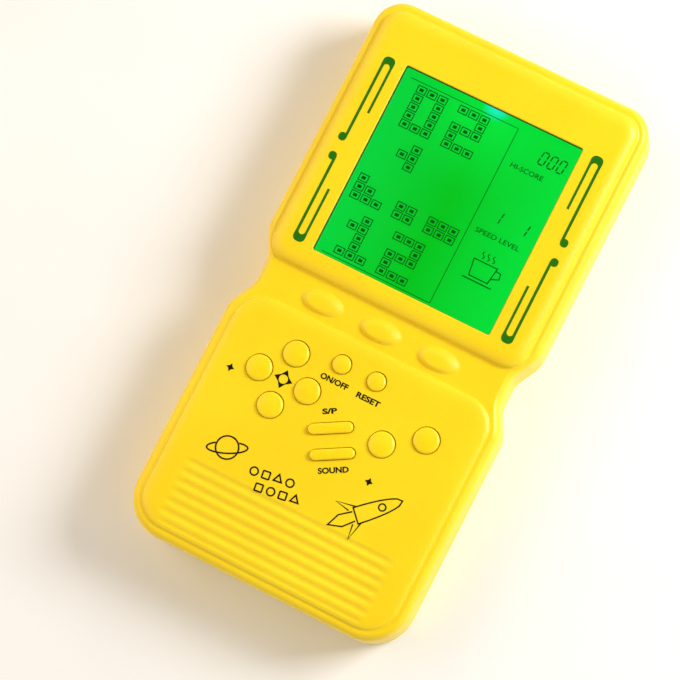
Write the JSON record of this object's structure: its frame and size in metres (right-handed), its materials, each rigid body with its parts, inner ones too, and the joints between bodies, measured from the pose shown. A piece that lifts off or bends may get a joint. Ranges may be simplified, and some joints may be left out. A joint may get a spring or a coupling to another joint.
{
  "type": "handheld lcd game",
  "caption": "Waisted yellow pocket game: square backlit LCD in a raised frame over a keypad with a cross of round keys, slanted bar keys and moulded ribs.",
  "frame": {"origin": "middle of the back, on the surface that the game lies on", "axes": "+X to the right across the face, +Y towards the top edge, +Z out of the face"},
  "size_m": [0.094, 0.184, 0.026],
  "materials": {
    "case_plastic": "yellow injection-moulded ABS, soft satin gloss",
    "key_plastic": "yellow moulded ABS, slightly glossier than the case",
    "clear_plastic": "clear acrylic, polished",
    "lcd_glass": "thin soda-lime glass with a clear conductive coat",
    "polarizer_film": "grey-green polarizing film",
    "white_film": "white diffusing polyester film",
    "light_guide_plastic": "clear acrylic lit green from its edge",
    "white_plastic": "off-white moulded ABS",
    "silicone": "grey silicone rubber, matt",
    "board_laminate": "brown phenolic paper laminate",
    "epoxy_resin": "black potting resin, glossy",
    "black_plastic": "black plastic sleeve",
    "cone_paper": "black pressed paper",
    "steel": "zinc-plated steel",
    "nickel": "nickel-plated spring steel",
    "cell_wrap": "AA cell in a printed foil wrap, at an AA cell's mean density",
    "resistor_body": "tan lacquered ceramic",
    "red_sleeve": "red PVC wire sleeve",
    "black_sleeve": "black PVC wire sleeve",
    "black_ink": "black pad-printed ink",
    "green_ink": "dark green pad-printed ink"
  },
  "bodies": {
    "case": {"front_shell": "case_plastic", "rear_shell": "case_plastic", "case_screw_1": "steel", "case_screw_2": "steel", "case_screw_3": "steel", "case_screw_4": "steel", "case_screw_5": "steel", "case_screw_6": "steel", "display_window": "clear_plastic", "lcd_front_polarizer": "polarizer_film", "lcd_front_glass": "lcd_glass", "lcd_rear_glass": "lcd_glass", "lcd_rear_polarizer": "polarizer_film", "backlight_diffuser": "white_film", "light_guide": "light_guide_plastic", "backlight_reflector": "white_film", "backlight_led": "white_plastic", "lcd_frame": "white_plastic", "zebra_connector": "silicone", "main_board": "board_laminate", "chip_epoxy_blob": "epoxy_resin", "electrolytic_capacitor": "black_plastic", "resistor_1": "resistor_body", "resistor_2": "resistor_body", "board_screw_1": "steel", "board_screw_2": "steel", "board_screw_3": "steel", "board_screw_4": "steel", "mat_cross": "silicone", "mat_function": "silicone", "mat_option": "silicone", "mat_action": "silicone", "battery_1": "cell_wrap", "battery_2": "cell_wrap", "contact_positive": "nickel", "contact_negative": "nickel", "contact_link": "nickel", "wire_battery_positive": "red_sleeve", "wire_battery_negative": "black_sleeve", "speaker_frame": "steel", "speaker_cone": "cone_paper", "speaker_magnet": "steel", "wire_speaker_a": "red_sleeve", "wire_speaker_b": "black_sleeve"},
    "key_up": {"key_up": "key_plastic"},
    "key_down": {"key_down": "key_plastic"},
    "key_left": {"key_left": "key_plastic"},
    "key_right": {"key_right": "key_plastic"},
    "key_power": {"key_power": "key_plastic"},
    "key_reset": {"key_reset": "key_plastic"},
    "key_start_pause": {"key_start_pause": "key_plastic"},
    "key_sound": {"key_sound": "key_plastic"},
    "key_rotate": {"key_rotate": "key_plastic"},
    "key_drop": {"key_drop": "key_plastic"},
    "battery_door": {"battery_door": "case_plastic"}
  },
  "joints": [
    {"name": "key_up_press", "type": "slide", "parent": "case", "child": "key_up", "axis": [0, 0, -1], "range_m": [0, 0.001], "stiffness_N_per_m": 800, "springref_m": -0.0005, "deforming": ["mat_cross"]},
    {"name": "key_down_press", "type": "slide", "parent": "case", "child": "key_down", "axis": [0, 0, -1], "range_m": [0, 0.001], "stiffness_N_per_m": 800, "springref_m": -0.0005, "deforming": ["mat_cross"]},
    {"name": "key_left_press", "type": "slide", "parent": "case", "child": "key_left", "axis": [0, 0, -1], "range_m": [0, 0.001], "stiffness_N_per_m": 800, "springref_m": -0.0005, "deforming": ["mat_cross"]},
    {"name": "key_right_press", "type": "slide", "parent": "case", "child": "key_right", "axis": [0, 0, -1], "range_m": [0, 0.001], "stiffness_N_per_m": 800, "springref_m": -0.0005, "deforming": ["mat_cross"]},
    {"name": "key_power_press", "type": "slide", "parent": "case", "child": "key_power", "axis": [0, 0, -1], "range_m": [0, 0.001], "stiffness_N_per_m": 800, "springref_m": -0.0005, "deforming": ["mat_function"]},
    {"name": "key_reset_press", "type": "slide", "parent": "case", "child": "key_reset", "axis": [0, 0, -1], "range_m": [0, 0.001], "stiffness_N_per_m": 800, "springref_m": -0.0005, "deforming": ["mat_function"]},
    {"name": "key_start_pause_press", "type": "slide", "parent": "case", "child": "key_start_pause", "axis": [0, 0, -1], "range_m": [0, 0.001], "stiffness_N_per_m": 800, "springref_m": -0.0005, "deforming": ["mat_option"]},
    {"name": "key_sound_press", "type": "slide", "parent": "case", "child": "key_sound", "axis": [0, 0, -1], "range_m": [0, 0.001], "stiffness_N_per_m": 800, "springref_m": -0.0005, "deforming": ["mat_option"]},
    {"name": "key_rotate_press", "type": "slide", "parent": "case", "child": "key_rotate", "axis": [0, 0, -1], "range_m": [0, 0.001], "stiffness_N_per_m": 800, "springref_m": -0.0005, "deforming": ["mat_action"]},
    {"name": "key_drop_press", "type": "slide", "parent": "case", "child": "key_drop", "axis": [0, 0, -1], "range_m": [0, 0.001], "stiffness_N_per_m": 800, "springref_m": -0.0005, "deforming": ["mat_action"]},
    {"name": "battery_door_slide", "type": "slide", "parent": "case", "child": "battery_door", "axis": [0, -1, 0], "range_m": [0, 0.034]}
  ]
}
